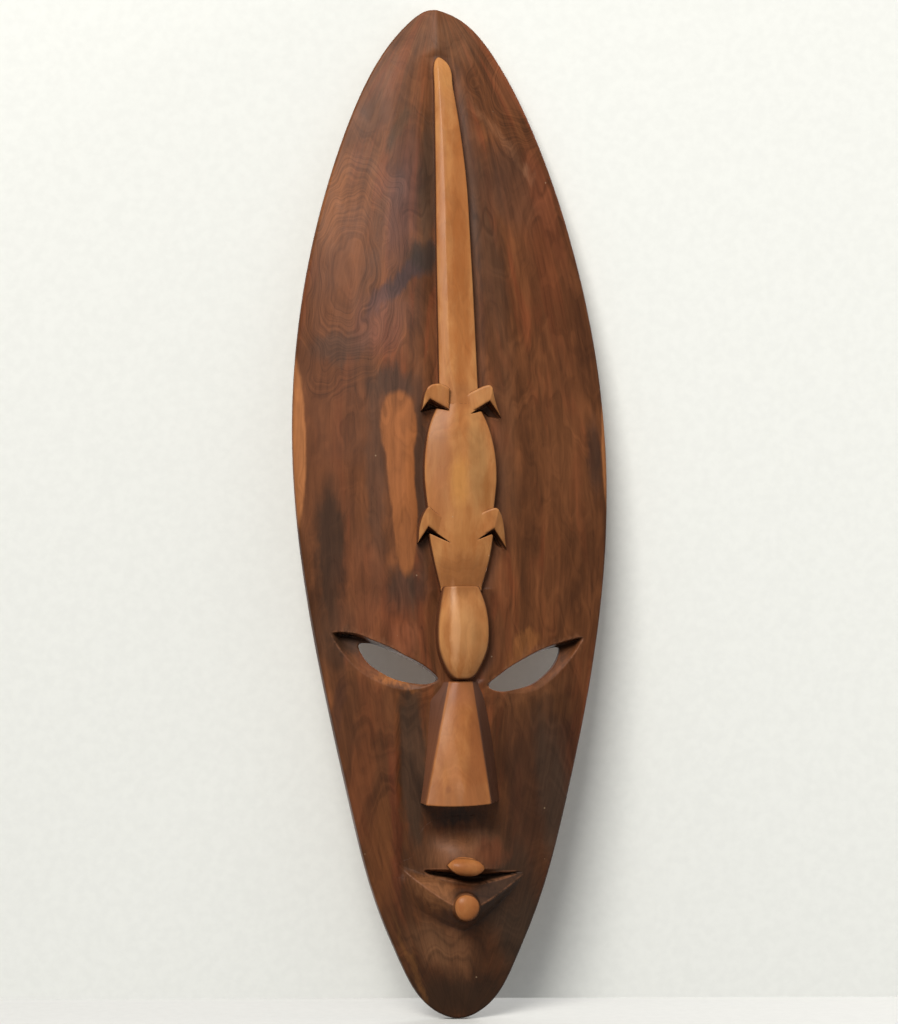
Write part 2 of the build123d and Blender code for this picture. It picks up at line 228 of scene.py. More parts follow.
def surface_net(field, low, high, step):
    """Vertices and outward quads of the surface where the field is zero."""
    axes = [np.arange(lo, hi + step, step) for lo, hi in zip(low, high)]
    values = field(axes[0][:, None, None], axes[1][None, :, None], axes[2][None, None, :])
    solid = values > 0
    cells = tuple(n - 1 for n in values.shape)
    count = sum(
        solid[i : i + cells[0], j : j + cells[1], k : k + cells[2]].astype(np.int8)
        for i, j, k in CORNERS
    )
    index = np.argwhere((count > 0) & (count < 8))
    corner = np.stack([values[tuple((index + c).T)] for c in CORNERS], 1)
    total, crossings = np.zeros((len(index), 3)), np.zeros(len(index))
    for a, b in CELL_EDGES:
        cut = (corner[:, a] > 0) != (corner[:, b] > 0)
        t = corner[:, a] / np.where(cut, corner[:, a] - corner[:, b], 1.0)
        where = CORNERS[a] + t[:, None] * (CORNERS[b] - CORNERS[a])
        total += where * cut[:, None]
        crossings += cut
    vertices = np.array([a[0] for a in axes]) + step * (index + total / crossings[:, None])
    number = np.full(cells, -1, int)
    number[tuple(index.T)] = np.arange(len(index))
    quads = []
    for axis in range(3):
        one, two = (axis + 1) % 3, (axis + 2) % 3
        here = [slice(1, -1)] * 3
        here[axis] = slice(0, -1)
        there = list(here)
        there[axis] = slice(1, None)
        first, second = solid[tuple(here)], solid[tuple(there)]
        change = np.argwhere(first != second)
        out = first[tuple(change.T)]
        offset = np.ones(3, int)
        offset[axis] = 0
        change = change + offset
        ring = []
        for p, q in ((1, 1), (0, 1), (0, 0), (1, 0)):
            cell = change.copy()
            cell[:, one] -= p
            cell[:, two] -= q
            ring.append(number[tuple(cell.T)])
        ring = np.stack(ring, 1)
        ring[~out] = ring[~out][:, ::-1]
        quads.append(ring)
    return vertices, np.concatenate(quads)


def slope(field, p, reach=0.3):
    """Field and its gradient at some points."""
    x, y, z = p.T
    changes = (
        field(x + reach, y, z) - field(x - reach, y, z),
        field(x, y + reach, z) - field(x, y - reach, z),
        field(x, y, z + reach) - field(x, y, z - reach),
    )
    return field(x, y, z), np.stack(changes, 1) / (2 * reach)


def settle(field, p, step, rounds=3):
    """Moves points onto the surface."""
    for _ in range(rounds):
        value, g = slope(field, p)
        move = -value[:, None] * g / np.maximum((g * g).sum(1), 0.05)[:, None]
        size = np.linalg.norm(move, axis=1, keepdims=True)
        p = p + move * np.minimum(1.0, 0.5 * step / np.maximum(size, 1e-9))
    return p


def carve(name, field, low, high, step, keep=1.0):
    """A piece whose surface is where the field is zero, thinned to a share of its triangles."""
    points, quads = surface_net(field, low, high, step)
    points = settle(field, points, step)
    mesh = bpy.data.meshes.new(name)
    mesh.from_pydata((points * MM).tolist(), [], quads.tolist())
    piece = add_object(name, mesh)
    if keep < 1:
        thin = piece.modifiers.new("thin", "DECIMATE")
        thin.ratio = keep
        graph = bpy.context.evaluated_depsgraph_get()
        piece.data = bpy.data.meshes.new_from_object(piece.evaluated_get(graph))
        piece.modifiers.clear()
        bpy.data.meshes.remove(mesh)
        mesh = piece.data
        mesh.name = name
        co = np.zeros(len(mesh.vertices) * 3)
        mesh.vertices.foreach_get("co", co)
        points = settle(field, co.reshape(-1, 3) / MM, step, 2)
        mesh.vertices.foreach_set("co", (points * MM).ravel())
    mesh.update()
    normals = -slope(field, points)[1]
    normals /= np.maximum(np.linalg.norm(normals, axis=1, keepdims=True), 1e-9)
    mesh.polygons.foreach_set("use_smooth", np.ones(len(mesh.polygons), bool))
    mesh.normals_split_custom_set_from_vertices(normals.tolist())
    x, y, z = points.T
    # shares of deep carving, for painted shade, and of crisp edges, for wear with a painted highlight
    for quality, chart, skin in (("hollow", hollow_chart, 4), ("worn_and_lit_edge", edge_chart, 3)):
        share = np.clip(chart(x, z) * (y < skin - front_chart(x, z)), 0, 1)
        mesh.attributes.new(quality, "FLOAT", "POINT").data.foreach_set("value", share)
    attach(piece, "mask")
    return piece


# ---------------- the plain board
board = Profile("mask_board", 600)
half_squared = board.half(board.z) ** 2
squared_slope = np.gradient(half_squared, board.z)
centre_drift = np.gradient(board.centre(board.z), board.z)
END_FALL = 60.0  # how fast half_squared goes on falling past the apex and the chin


def outline(x, z):
    """Distance inside the mask's outline."""
    offset = x - board.centre(z)
    first, last = board.z[0], board.z[-1]
    wide = np.interp(z, board.z, half_squared)
    wide = np.where(z > last, -END_FALL * (z - last), wide)
    wide = np.where(z < first, -END_FALL * (first - z), wide)
    tilt = np.interp(z, board.z, squared_slope) + 2 * offset * np.interp(z, board.z, centre_drift)
    return (wide - offset**2) / np.sqrt(4 * offset**2 + tilt**2 + 16.0)


def crown(x, z, shift=0.0):
    """Height of the plain crowned surface, moved in from the front by shift."""
    radius = ARCH_RADIUS - shift
    arch = CROWN - ARCH_RADIUS + np.sqrt(radius**2 - np.clip(x, -200, 200) ** 2)
    reach = BOW_RADIUS - CROWN + arch
    return np.sqrt(reach**2 - (z - MIDDLE) ** 2) - (BOW_RADIUS - CROWN)


# ---------------- the carving on the board
LEFT_HOLE = rounded_loop([
    (-88, 606), (-78, 604), (-66, 608), (-48, 616), (-30, 626), (-17, 638), (-26, 643), (-40, 642),
    (-56, 638), (-69, 631), (-81, 621),
])
RIGHT_HOLE = rounded_loop([
    (101, 611), (89, 612), (75, 617), (58, 625), (44, 634), (31, 646), (42, 651), (57, 649), (72, 645),
    (86, 636), (97, 624),
])
LEFT_BROW = through(
    (-115, 593), (-102, 593.5), (-90, 595.5), (-77, 601), (-54, 612), (-35, 625), (-15, 639)
)
LEFT_LID = through(
    (-115, 593), (-109, 604), (-97, 621), (-84, 633), (-68, 642), (-54, 647), (-40, 648), (-27, 645),
    (-15, 639),
)
RIGHT_BROW = through((26, 646), (48, 630.5), (66, 620), (83, 612), (101, 606), (126, 600))
RIGHT_LID = through((26, 646), (40, 651), (57, 653), (74, 651), (92, 640), (110, 622), (126, 600))
SOCKET_DEPTH = 14.0

MOUTH = rounded_loop([
    (-31, 813), (-8, 813.5), (18, 816.5), (42, 816.5), (61, 817.5), (38, 824), (14, 828), (-9, 823.5),
    (-27, 819),
])
MOUTH_DEPTH = 10.0
LIPS = rounded_loop([
    (-62, 812), (-42, 800), (-36, 780), (-22, 768), (6, 764), (34, 768), (48, 782), (52, 802), (68, 816),
    (58, 842), (38, 866), (12, 878), (-16, 872), (-44, 848),
])
LIP_X = 5.0
UPPER_LIP_RISE, LOWER_LIP_RISE = 10.5, 20.0
BOSS = (5.0, 848.0)
BOSS_RADIUS, BOSS_RISE = 12.0, 21.0
KEEL_RISE = 2.2
PANEL_LEFT, PANEL_RIGHT, PANEL_TOP, PANEL_FOOT, PANEL_DEPTH = -54, 58, 642, 826, 3.6
PHILTRUM_DEPTH = 4.0
NOTCH_DEPTH = 3.0
BEAD = (6.0, 811.0)

tail = Row(
    (48, -0.5, 3.5, 3.0), (56, 1.3, 7.2, 6), (80, 2.7, 9.3, 8), (165, 6.3, 14.6, 8.5), (239, 6.5, 16.5, 9),
    (385, 7.0, 18.5, 10),
)
body = Row(
    (385, 6.0, 19, 10.5), (400, 6, 26, 12.5), (427, 6.5, 32.5, 14.5), (453, 6.5, 34, 15.5),
    (485, 6, 31, 15.5), (507, 6, 30, 14.5), (530, 6, 26, 12.0), (555, 5.5, 19.5, 6.5),
)
head = Row(
    (555, 5, 17.5, 13), (572, 6, 22, 16), (593, 6, 24.5, 18), (615, 5.5, 22.5, 17), (630, 5, 16.5, 14),
    (640, 5, 11, 10),
)


def eye_cut(brow, lid, x, z):
    """A pocket that drops straight from the brow and slopes back up to the lower lid."""
    d = APEX - z
    upper, lower = brow(x), lid(x)
    share = (lower - d) / np.maximum(lower - upper, 1e-3)
    start, end = brow.ends
    taper = smooth((x - start) / 12) * smooth((end - x) / 12) * smooth((d - upper) / 2.5)
    return SOCKET_DEPTH * taper * np.where((d > upper) & (d < lower) & (x > start) & (x < end), share, 0)


def panel(x, z):
    """One inside the lower plane round the nose and mouth, zero on the cheeks."""
    d = APEX - z
    across = smooth((x - PANEL_LEFT) / 9 + 0.5) * smooth((PANEL_RIGHT - x) / 30 + 0.5)
    return across * smooth((d - PANEL_TOP) / 26) * smooth((PANEL_FOOT - d) / 14)


def upper_lip_swell(x, d):
    return UPPER_LIP_RISE * np.exp(-(((x - LIP_X) / 27) ** 2)) * smooth((d - 774) / 38)


def lower_lip_swell(x, d):
    """A shelf that climbs from the mouth to a crest, then drops back to the chin."""
    right = x > LIP_X
    u = np.clip(np.abs(x - LIP_X) / np.where(right, 58, 63), 0, 1)
    mouth = 827 - np.where(right, 9, 22) * u**1.5
    crest = 851 - np.where(right, 33, 45) * u**1.35
    foot = 870 - np.where(right, 49, 35) * u**1.3
    peak = LOWER_LIP_RISE * (1 - u**1.15)
    climb = np.clip((d - mouth) / (crest - mouth + 1e-6), 0, 1)
    fall = np.clip((foot - d) / (foot - crest + 1e-6), 0, 1)
    shelf = np.where(d < crest, 0.1 * smooth((d - mouth + 8) / 8) + 0.9 * climb, fall**0.85) * peak
    shelf = np.where((d < mouth - 8) | (d > foot), 0, shelf)
    boss = BOSS_RISE * smooth((BOSS_RADIUS + 3.5 - np.hypot(x - BOSS[0], d - BOSS[1])) / 4.5)
    return soft_max(shelf, boss, 3.0) - 0.75


# Legs as points round them, the last two on the underside
HIND_LEFT = [
    (-2, 371), (-9, 366.5), (-18, 366.5), (-24, 370), (-27, 378), (-28.5, 391), (-21, 381), (-3, 391),
]
HIND_RIGHT = [(12, 377), (20, 372.5), (33, 367), (38, 369), (41, 383), (47, 398), (35, 383), (17, 393.5)]
FRONT_LEFT = [
    (-6, 492), (-19, 486), (-25, 479), (-31, 489), (-34, 500), (-34.5, 514), (-25, 499.5), (-6, 513.5),
]
FRONT_RIGHT = [(12, 495), (21, 488), (35, 482), (40.5, 483), (46, 493), (49, 520), (36, 502), (20, 511.5)]
LEGS = {  # outline, which point is the knee, how the thigh sinks inwards
    "hind_leg_left": (HIND_LEFT, 3, 0.12),
    "hind_leg_right": (HIND_RIGHT, 3, 0.34),
    "front_leg_left": (FRONT_LEFT, 2, 0.22),
    "front_leg_right": (FRONT_RIGHT, 3, 0.24),
}
NOTCHES = [
    [(-28.5, 391.5), (-21, 381), (-3, 391.5), (-15, 388.5)],
    [(47.5, 398.5), (35, 383), (17, 394.5), (30, 391), (35, 396)],
    [(-34.5, 514.5), (-25, 499.5), (-5, 514.5), (-24, 505), (-28, 510)],
    [(49.5, 521), (36, 502), (20, 512), (34, 506.5), (37, 508), (40, 516)],
]


def notches(x, z):
    """Distance inside the triangular cuts under the legs."""
    return np.maximum.reduce([inside(np.array(cut, float), x, z, 8.0) for cut in NOTCHES])


def carved_front(x, z):
    """Height of the carved front of the board, lips and all."""
    d = APEX - z
    h = crown(x, z)
    h = h + KEEL_RISE * np.exp(-np.abs(x) / 16) * smooth((110 - d) / 60)
    trench = 0.0
    for feature, depth, width in ((tail, 2.0, 8.0), (body, 2.6, 9.0), (head, 2.6, 9.0)):
        away = np.maximum(np.abs(x - feature.centre(z)) - feature.half(z), 0)
        away = away + 1.5 * np.maximum(np.maximum(feature.bottom - z, z - feature.top), 0)
        trench = np.maximum(trench, depth * np.exp(-((away / width) ** 2)))
    h = h - trench
    h = h - PANEL_DEPTH * panel(x, z)
    philtrum = np.exp(-(((x - 4) / 27) ** 2)) * smooth((d - 742) / 20) * smooth((798 - d) / 26)
    h = h - PHILTRUM_DEPTH * philtrum
    h = h - eye_cut(LEFT_BROW, LEFT_LID, x, z) - eye_cut(RIGHT_BROW, RIGHT_LID, x, z)
    h = h - NOTCH_DEPTH * smooth(np.clip(notches(x, z), 0, None) / 1.5)
    h = h + upper_lip_swell(x, d) * smooth((818 - d) / 5) + np.maximum(lower_lip_swell(x, d), 0)
    groove = inside(MOUTH, x, z)
    h = h - MOUTH_DEPTH * smooth(np.clip(groove, 0, None) / 5.0)
    return h + 0.5 * wobble(x, z, 42, 3, 2.2) + 0.18 * wobble(x, z, 13, 4, 2.5)


SEAT_HALF_WIDTH, SEAT_TOP, SEAT_FOOT = 13.0, 12.0, -66.0
SEAT_DEPTH = -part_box("hanger_strap")[0].y / MM
GOUGE_WIDTH, GOUGE_LENGTH, GOUGE_DEPTH = 14.0, 52.0, 1.5


def gouge_cuts(x, z):
    """Rows of shallow hollows along the grain, as a gouge leaves them."""
    column = x / GOUGE_WIDTH + 0.35 * wobble(x, z, 70, 7, 2.0)
    row = z / GOUGE_LENGTH + 0.6 * np.sin(2.4 * np.floor(column)) + 0.3 * wobble(x, z, 45, 8, 1.5)
    across, along = 2 * (column % 1) - 1, 2 * (row % 1) - 1
    return GOUGE_DEPTH * (1 - across**2) * (1 - 0.7 * along**4)


def back(x, z):
    """Height of the hollowed back of the board: nothing on the flat rim."""
    scoop = crown(x, z, WALL_THICKNESS)
    chatter = gouge_cuts(x, z) - GOUGE_DEPTH / 2
    scoop = soft_max(scoop + chatter * smooth(scoop / 6), 0 * scoop, 2.5)
    seat = np.minimum(SEAT_HALF_WIDTH - np.abs(x), np.minimum(SEAT_TOP - z, z - SEAT_FOOT))
    return np.where(seat > 0, np.maximum(scoop, SEAT_DEPTH), scoop)


LOW = (board.left.min() - 3, CHIN - 3)
HIGH = (board.right.max() + 3, APEX + 3)
GRID = 0.75
front_chart = Chart(LOW, HIGH, GRID, carved_front)
lips_chart = Chart((-70, APEX - 885), (76, APEX - 755), 1.0, lambda x, z: inside(LIPS, x, z, 12))
back_chart = Chart(LOW, HIGH, GRID, back)
outline_chart = Chart(LOW, HIGH, 1.0, outline)
hole_chart = Chart(
    LOW, HIGH, GRID, lambda x, z: np.maximum(inside(LEFT_HOLE, x, z, 8), inside(RIGHT_HOLE, x, z, 8))
)


def surroundings(chart, reach):
    """The chart blurred over a reach in grid steps."""
    blurred = chart.values
    kernel = np.exp(-np.linspace(-2, 2, 4 * reach + 1) ** 2)
    kernel /= kernel.sum()
    for axis in (0, 1):
        pad = [(0, 0), (0, 0)]
        pad[axis] = (2 * reach, 2 * reach)
        wide = np.pad(blurred, pad, mode="edge")
        blurred = sum(
            weight * np.take(wide, np.arange(i, i + chart.values.shape[axis]), axis)
            for i, weight in enumerate(kernel)
        )
    return blurred


# Both are zero on open wood; the first nears one in a deep corner, the second on a crisp edge
hollow_chart, edge_chart = copy(front_chart), copy(front_chart)
hollow_chart.values = (surroundings(front_chart, 9) - front_chart.values) / 3.0
edge_chart.values = (front_chart.values - surroundings(front_chart, 2) - 0.06) / 0.3
LIP_SEAT = 1.5  # how far the board sinks under the separate lips


def board_field(x, y, z):
    h = -y
    edge = outline_chart(x, z)
    top = front_chart(x, z) - LIP_SEAT * smooth(lips_chart(x, z) / 4)
    shell = soft_min(top - h, edge, 2.6)
    shell = soft_min(shell, h - back_chart(x, z), 1.6)
    return soft_min(shell, -hole_chart(x, z), 1.4)


def whole(name, node, slot, field, low, high, step, **more):
    """Carves a piece, given the corners of its box as (x, y, z), and hides the node whose place it takes.
    """
    piece = carve(name, field, low, high, step, **more)
    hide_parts(node)


board_low, board_high = (LOW[0], -CROWN - 4, LOW[1]), (HIGH[0], 3.0, HIGH[1])
step, keep = ((1.15, 0.24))
whole("carved_board", "mask_board", "heartwood", board_field, board_low, board_high, step, keep=keep)


# ---------------- the raised carving
BITE = 5.0  # how far the raised pieces reach into the board
SPARE = 8.0  # room for a root that spreads, or sinks with the board's front
MARGIN = 3.0


def near(node):
    """Corners of a node's box with a margin, in millimetres."""
    low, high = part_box(node)
    return [c / MM - MARGIN for c in low], [c / MM + MARGIN for c in high]


def raised(name, node, slot, wood, step=0.7, above=0.0):
    """A piece that stands on the board: wood is its field over x, height and z."""

    def field(x, y, z):
        return np.minimum(wood(x, -y, z), BITE - y - front_chart(x, z))

    low, high = near(node)
    high[0] += SPARE / 2
    high[1] += BITE + SPARE
    high[2] += above
    whole(name, node, slot, field, low, high, step)


def back_of(x, z, along, rise, edge, ridge, lean):
    """Height of an animal's back: a crest at a share ridge of the half width, falling to both sides."""
    u = (x - along.centre(z)) / along.half(z)
    fall = np.where(u < ridge, (ridge - u) / (1 + ridge), (u - ridge) / (1 - ridge))
    return crown(along.centre(z), z) + rise * (1 - edge * np.clip(fall, 0, 1.4) ** lean)


def tail_wood(x, h, z):
    d = APEX - z
    flat = smooth((d - 330) / 60)
    top = back_of(x, z, tail, tail.rise(z), 0.42 - 0.1 * flat, -0.45 + 0.35 * flat, 1.25)
    top = top + 0.15 * wobble(x, z, 9, 21, 3.0)
    side = tail.half(z) - np.abs(x - tail.centre(z))
    side = soft_min(side, tail.top - z, 6.0)
    return np.minimum(soft_min(top - h, side, 1.6), z - tail.bottom + 0.6)


def body_wood(x, h, z):
    top = back_of(x, z, body, body.rise(z), 0.42, -0.1, 1.7)
    top = top + 0.3 * wobble(x, z, 11, 22, 2.0)
    side = body.half(z) - np.abs(x - body.centre(z))
    wood = soft_min(top - h, side, 2.4)
    wood = soft_min(wood, -notches(x, z), 0.8)
    return np.minimum(wood, np.minimum(body.top - z + 0.4, z - body.bottom + 3))


def head_wood(x, h, z):
    top = back_of(x, z, head, head.rise(z), 0.5, -0.28, 1.8)
    top = top + 0.25 * wobble(x, z, 10, 23, 2.0)
    side = soft_min(head.half(z) - np.abs(x - head.centre(z)), z - head.bottom, 7.0)
    return soft_min(soft_min(top - h, side, 3.5), head.top - z + 1.0, 2.0)


def rounded_knee(leg):
    """The outline of a leg with the corners of its upper side cut twice, which rounds them."""
    upper, under = np.array(leg[:-2], float), np.array(leg[-2:], float)
    for _ in range(2):
        a, b = upper[:-1], upper[1:]
        cut = np.stack([0.75 * a + 0.25 * b, 0.25 * a + 0.75 * b], 1).reshape(-1, 2)
        upper = np.concatenate([upper[:1], cut[1:-1], upper[-1:]])
    return np.concatenate([upper, under])


def leg_wood(leg, knee, sink):
    """A bent limb: a facet each side of the knee, the inner one sinking into the back."""
    (inner, _), (kx, kd), (nx, nd) = leg[0], leg[knee], leg[-2]
    outward = -1 if kx < inner else 1
    length = math.hypot(nx - kx, nd - kd)
    across, down = (nd - kd) / length, (kx - nx) / length
    top_edge = min(d for _, d in leg)
    loop = rounded_knee(leg)

    def wood(x, h, z):
        d = APEX - z
        past = outward * ((x - kx) * across + (d - kd) * down)
        rise = 17.5 - 0.42 * np.maximum(past, 0) - sink * np.maximum(-past, 0) - 0.14 * (d - top_edge)
        top = crown(0.9 * x, z) + rise + 0.2 * wobble(x, z, 7, 24)
        return soft_min(top - h, inside(loop, x, z, 10), 2.6)

    return wood


raised("carved_tail", "lizard_tail", "sapwood", tail_wood)
raised("carved_body", "lizard_body", "sapwood", body_wood)
raised("carved_head", "lizard_head", "sapwood", head_wood)
for leg_name, leg in LEGS.items():
    raised("carved_" + leg_name, "lizard_" + leg_name, "sapwood", leg_wood(*leg), 0.5)

NOSE_TOP, NOSE_FOOT = (APEX - corner.z / MM for corner in reversed(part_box("nose")))
NOSE_START = 10.0  # how far its thin top runs on above the node, to meet the head
NOSE_MIDDLE = (2.9, -6.2)  # at its top, and the change from there to its foot
NOSE_FACE = (12.8, 17.4)
NOSE_RISE = (8.0, 23.0)
# Flank colours of the nose; the right one is darker as painted shade.
NOSE_LEFT_TOP, NOSE_LEFT, NOSE_RIGHT_SHADED = (96, 60, 43), (124, 78, 54), (90, 57, 41)


def nose_wood(x, h, z):
    """A wedge with a crowned front and flanks that slope out to its root, cut back a little underneath."""
    d = APEX - z
    t = (d - NOSE_TOP) / (NOSE_FOOT - NOSE_TOP)
    middle, face, rise = (start + change * t for start, change in (NOSE_MIDDLE, NOSE_FACE, NOSE_RISE))
    u = (x - middle) / face
    base = crown(middle, z)
    top = base + rise - 3.4 * u**2 + 0.25 * wobble(x, z, 12, 25, 2.0)
    share = np.clip(1 - (h - base) / (rise - 3), 0, 1.4)
    left = middle - face - (1.0 + 8.7 * np.clip(1 - t, 0, 1.1) ** 1.3) * share
    right = middle + face + (6 + 10 * t - 5.5 * t**2) * share
    foot = NOSE_FOOT + 1.5 * (1 - u**2) - 0.05 * np.clip(base + rise - h, 0, None) - d
    wood = soft_min(top - h, 0.9 * np.minimum(x - left, right - x), 1.8)
    return soft_min(soft_min(wood, foot, 1.2), d - NOSE_TOP + NOSE_START, 2.0)


raised("carved_nose", "nose", "sapwood", nose_wood, above=NOSE_START)


LIP_SPLIT = 820.0  # the depth at which the upper lip ends
LIP_OVERLAP = 0.5


def lip(name, node, beyond_split, low_depth, high_depth):
    """A lip: the board's front inside the lips' outline, on one side of the split."""

    def field(x, y, z):
        front = front_chart(x, z)
        wood = np.minimum(front + 0.05 + y, np.minimum(lips_chart(x, z), beyond_split(APEX - z)))
        return np.minimum(wood, BITE + LIP_SEAT - y - front)

    low = (-68, -50, APEX - high_depth)
    whole(name, node, "heartwood", field, low, (74, -4, APEX - low_depth), 0.8)


lip("carved_upper_lip", "upper_lip", lambda d: LIP_SPLIT - d, 758, 824)
lip("carved_lower_lip", "lower_lip", lambda d: d - LIP_SPLIT + LIP_OVERLAP, 814, 882)


def upper_bead(x, h, z):
    """A boat shape with blunt ends, its right end a little lower than its left."""
    u = (x - BEAD[0] + 0.5) / 17.5
    v = (APEX - z - BEAD[1] - 1.6 * u) / 8.5
    ridge = 1 - np.abs(u) ** 2.7
    top = crown(BEAD[0], APEX - BEAD[1]) + 9.0 + 9.0 * np.sqrt(np.clip(ridge - (v - 0.1) ** 2, 0, 1)) + v
    return np.minimum(top - h, 5.0 * (ridge - np.abs(v)))


def lower_bead(x, h, z):
    """A low dome, a little out of round."""
    across, down = (x - BOSS[0] + 0.6) / 11.5, (APEX - z - BOSS[1]) / BOSS_RADIUS
    reach = np.hypot(across, down) / (1 + 0.03 * np.cos(3 * np.arctan2(down, across) + 0.6))
    top = crown(BOSS[0], APEX - BOSS[1]) + 20.4 + 5.4 * np.sqrt(np.clip(1 - reach**2, 0, 1))
    return soft_min(top - h, BOSS_RADIUS * (1 - reach), 1.0)


def bead(name, node, wood):
    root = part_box(node)[1].y / MM

    def field(x, y, z):
        return np.minimum(wood(x, -y, z), root + BITE - y)

    low, high = near(node)
    high[1] += BITE
    whole(name, node, "sapwood", field, low, high, 0.4)


bead("carved_upper_bead", "upper_lip_bead", upper_bead)
bead("carved_lower_bead", "lower_lip_bead", lower_bead)

# ---------------- materials
def linear(red, green, blue):
    """A colour from its 0 to 255 screen values."""
    screen = (red / 255, green / 255, blue / 255)
    return [((c + 0.055) / 1.055) ** 2.4 if c > 0.04045 else c / 12.92 for c in screen] + [1]


class Graph:
    """A material under construction; most methods return an output socket."""

    def __init__(self, name):
        self.material = bpy.data.materials.new(name)
        self.material.use_nodes = True
        self.tree = self.material.node_tree
        self.shader = self.tree.nodes["Principled BSDF"]
        place = self.node("TexCoord").outputs["Object"]
        self.mm = self.vector("SCALE", place, scale=1 / MM)
        split = self.node("SeparateXYZ", self.mm)
        self.x, self.y, self.z = split.outputs

    def node(self, kind, *inputs, **settings):
        node = self.tree.nodes.new("ShaderNode" + kind)
        for key, value in settings.items():
            setattr(node, key, value)
        for socket, value in zip(node.inputs, inputs):
            self.feed(socket, value)
        return node

    def feed(self, socket, value):
        if isinstance(value, bpy.types.NodeSocket):
            self.tree.links.new(value, socket)
        elif value is not None:
            socket.default_value = value

    def fill(self, node, **values):
        """Feeds a node's inputs by name, with _ for a space, and returns its first output."""
        for name, value in values.items():
            self.feed(node.inputs[name.replace("_", " ")], value)
        return node.outputs[0]

    def math(self, operation, *values):
        return self.node("Math", *values, operation=operation).outputs[0]

    def times(self, a, b):
        return self.math("MULTIPLY", a, b)

    def plus(self, a, b):
        return self.math("ADD", a, b)

    def minus(self, a, b):
        return self.math("SUBTRACT", a, b)

    def vector(self, operation, *values, scale=None):
        node = self.node("VectorMath", *values, operation=operation)
        if scale is not None:
            self.feed(node.inputs["Scale"], scale)
        return node.outputs["Value" if operation == "LENGTH" else "Vector"]

    def bump(self, height, strength, distance):
        return self.fill(self.node("Bump"), Strength=strength, Distance=distance, Height=height)

    def combine(self, x=0.0, y=0.0, z=0.0):
        return self.node("CombineXYZ", x, y, z).outputs[0]

    def noise(self, place, detail=2.0, rough=0.5, output="Fac", swirl=0.0):
        node = self.node("TexNoise")
        self.fill(node, Vector=place, Scale=1.0, Detail=detail, Roughness=rough, Distortion=swirl)
        return node.outputs[output]

    def jitter(self, place, detail, rough, size):
        """Noise in all three directions, about zero."""
        noise = self.noise(place, detail, rough, "Color")
        return self.vector("SCALE", self.vector("SUBTRACT", noise, (0.5, 0.5, 0.5)), scale=size)

    def shifted(self, move, share):
        """The place on the mask, moved by a share of a vector each way."""
        return self.vector("ADD", self.mm, self.vector("MULTIPLY", move, share))

    def stretch(self, x, y, z, place=None):
        """Coordinates with one unit to so many millimetres each way."""
        return self.vector("MULTIPLY", place or self.mm, (1 / x, 1 / y, 1 / z))

    def blend(self, share, a, b):
        """Number that goes from a to b."""
        return self.node("Mix", share, None, a, b).outputs[0]

    def ramp(self, value, low, high, to_low=0.0, to_high=1.0):
        limits = (low, high, to_low, to_high)
        return self.node("MapRange", value, *limits, interpolation_type="SMOOTHSTEP").outputs[0]

    def mix(self, share, a, b, blend="MIX"):
        node = self.node("Mix", data_type="RGBA", blend_type=blend)
        for socket, v in ((node.inputs[0], share), (node.inputs[6], a), (node.inputs[7], b)):
            self.feed(socket, v)
        return node.outputs[2]

    def tint(self, colour, factor):
        """The colour made lighter or darker by a factor."""
        return self.mix(1.0, colour, self.combine(factor, factor, factor), "MULTIPLY")

    def reach(self, place, x, d, half_width, half_height, turn):
        """Distance from the middle of an oval, one at its edge; turn leans its top to the right."""
        node = self.node("Mapping", place, vector_type="TEXTURE")
        centre, size = (x, 0, APEX - d), (half_width, 1e6, half_height)
        self.fill(node, Location=centre, Rotation=(0, math.radians(turn), 0), Scale=size)
        return self.vector("LENGTH", node.outputs[0])

    def patched(self, tone, place, patches):
        """The tone with oval patches of other colours laid over it."""
        for x, d, half_width, half_height, turn, soft, strength, colour in patches:
            reach = self.reach(place, x, d, half_width, half_height, turn)
            mask = self.ramp(reach, 1 + soft / 2, 1 - soft / 2)
            tone = self.mix(self.times(mask, strength), tone, linear(*colour))
        return tone


# Swirls in the grain: x, depth, half width, half height, turn
SWIRLS = [(-92, 262, 44, 96, 6), (74, 74, 36, 56, -20)]
